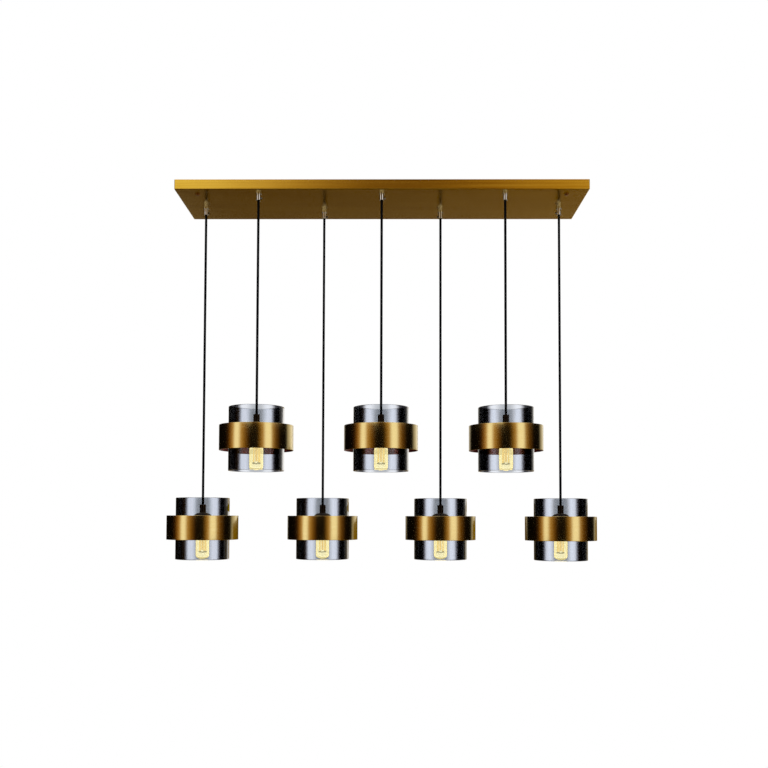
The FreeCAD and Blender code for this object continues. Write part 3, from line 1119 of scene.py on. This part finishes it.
def white_world():
    world = bpy.data.worlds.new("white_room")
    world.use_nodes = True
    scene.world = world
    tree = world.node_tree
    fill = add_node(
        tree, "ShaderNodeMapRange",
        inputs={"Value": seen_directly(tree), "To Min": world_fill, "To Max": 1.0},
    )
    set_inputs(
        tree, tree.nodes["Background"], {"Color": linear("#FFFFFF"), "Strength": fill.outputs["Result"]}
    )


def staged(name, mesh, material):
    mesh.materials.append(material)
    thing = bpy.data.objects.new(name, mesh)
    scene.collection.objects.link(thing)
    return thing


def flat_sheet(name, corners, material):
    mesh = bpy.data.meshes.new(name)
    mesh.from_pydata(corners, [], [(0, 1, 2, 3)])
    return staged(name, mesh, material)


def level_square(half, z):
    return [(-half, -half, z), (half, -half, z), (half, half, z), (-half, half, z)]


floor_z = -2.4               # the floor of an ordinary room
white_world()
flat_sheet("floor", level_square(8.0, floor_z), matt_white_floor())
print("floor at", floor_z, "m")

# %% [markdown]
# ## Walls and cards for the mirrors
# Brass is a mirror, so in a white room it would look white. A photographer stands strips of card round
# it, and here a round wall of upright stripes does that: black, brown and white for the bands, and
# softer ones higher up for the front of the pan. Two brown cards, one below the lamp and one behind
# it, darken the pan's underside. Only mirrors see all these, and they light nothing.

# %% Walls and cards
wall_radius = 5.0
wall_low, wall_split, wall_high = -3.0, 1.0, 5.0
wall_strength = 1.35
wall_steps = 72
card_depth = 3.0             # how far behind the lamp the card stands
card_reach = 2.5             # the cards' brown gets lighter over this far on either side
low_card_z = -1.6
shade_stripes = [
    (-180, "#C8C4BC"), (-156, "#8E8A82"), (-147, "#050301"), (-97, "#050301"), (-86, "#2A1400"),
    (-76, "#7A5014"), (-67, "#B89458"), (-60, "#FFFFFF"), (-50, "#FFFFFF"), (-41, "#B08A48"),
    (-28, "#6E4A10"), (-20, "#3A2200"), (-14, "#050301"), (9, "#050301"), (16, "#6A4A10"),
    (26, "#B08A48"), (34, "#FFFFFF"), (49, "#FFFFFF"), (57, "#A07C40"), (68, "#5A3A08"),
    (84, "#050301"), (113, "#050301"), (122, "#98948C"), (150, "#F0EEEA"), (180, "#C8C4BC"),
]
pan_stripes = [
    (-180, "#4A3A20"), (-90, "#8A7A60"), (-40, "#FFFFFF"), (-16, "#FFF6E0"), (-9, "#B89048"),
    (-3, "#5E3C08"), (3, "#4E2E04"), (9, "#8E6A28"), (17, "#C8A860"), (40, "#FFFFFF"),
    (90, "#8A7A60"), (180, "#4A3A20"),
]


def glowing_card(name, stops, strength, reach, is_round=False):
    """A material that glows in a ramp's colours, from left to right or, if round, with the turn."""
    material, tree = new_material(name)[:2]
    place = add_node(
        tree, "ShaderNodeSeparateXYZ", inputs={0: add_node(tree, "ShaderNodeTexCoord").outputs["Object"]}
    )
    along = place.outputs["X"]
    if is_round:
        front = add_node(tree, "ShaderNodeMath", {"operation": "MULTIPLY"}, {0: place.outputs["Y"], 1: -1.0})
        turn = add_node(
            tree, "ShaderNodeMath", {"operation": "ARCTAN2"}, {0: along, 1: front.outputs["Value"]}
        )
        along = turn.outputs["Value"]
    share = add_node(
        tree, "ShaderNodeMapRange", inputs={"Value": along, "From Min": -reach, "From Max": reach}
    )
    colour = add_node(tree, "ShaderNodeValToRGB", inputs={"Fac": share.outputs["Result"]}, stops=stops)
    glow = add_node(
        tree, "ShaderNodeEmission", inputs={"Color": colour.outputs["Color"], "Strength": strength}
    )
    set_inputs(tree, tree.nodes["Material Output"], {"Surface": glow.outputs["Emission"]})
    return material


def for_mirrors_only(thing):
    for ray in ("camera", "diffuse", "transmission", "volume_scatter", "shadow"):
        setattr(thing, f"visible_{ray}", False)


def striped_wall(name, low, high, stripes):
    """A round wall. Each stripe is an angle in degrees from the camera's side, and its colour."""
    stops = [((angle + 180) / 360, hex_colour) for angle, hex_colour in stripes]
    material = glowing_card(name, stops, wall_strength, math.pi, is_round=True)
    build = bmesh.new()
    lower, upper = (ring_of(build, 0, 0, z, wall_steps, lambda angle: wall_radius) for z in (low, high))
    skin(build, lower, upper)
    for_mirrors_only(staged(name, mesh_from(name, build), material))


def brown_card(name, corners):
    """Brown card that is darker on the left."""
    stops = [(0.0, "#4E3A00"), (0.5, "#5E4800"), (1.0, "#886C00")]
    for_mirrors_only(flat_sheet(name, corners, glowing_card(name, stops, 1.0, card_reach)))


striped_wall("striped_wall", wall_low, wall_split, shade_stripes)
striped_wall("high_wall", wall_split, wall_high, pan_stripes)
brown_card("brown_card_low", level_square(2.4, low_card_z))
brown_card("brown_card_behind", [
    (-3.0, card_depth, floor_z), (3.9, card_depth, floor_z),
    (3.9, card_depth, -0.6), (-0.9, card_depth, -0.6),
])
print("stripes:", len(shade_stripes), "and", len(pan_stripes))

# %% [markdown]
# ## Soft boxes
# The soft boxes shape everything that isn't a mirror. Mirrors don't see them, because the stripes
# play their part there. Nor do they see the shades, so that every shade shows clean stripes.

# %% Soft boxes
box_distance = 3.6
box_height = 0.2
box_size = (1.6, 3.0)
box_power = 60               # watts
box_angles = {"left": -55, "right": 45}      # degrees from the camera's side
aim_point = Vector((0, 0, -0.5))
shade_pieces = (
    "brass_band_rolled", "carrier_disc_pressed", "upper_glass_blown", "lower_glass_blown",
    "holder_", "bulb_",
)


def soft_box(name, angle):
    data = bpy.data.lights.new(name, "AREA")
    data.shape = "RECTANGLE"
    data.size, data.size_y = box_size
    data.energy = box_power
    lamp = bpy.data.objects.new(name, data)
    lamp.location = (box_distance * math.sin(angle), -box_distance * math.cos(angle), box_height)
    lamp.rotation_euler = (aim_point - lamp.location).to_track_quat("-Z", "Y").to_euler()
    scene.collection.objects.link(lamp)
    lamp.visible_camera = False
    lamp.visible_glossy = False


for piece in list(scene.objects):
    if piece.type == "MESH" and piece.name.startswith(shade_pieces):
        piece.visible_glossy = False
for side, angle in box_angles.items():
    soft_box(f"soft_box_{side}", math.radians(angle))
print("soft boxes:", len(box_angles))
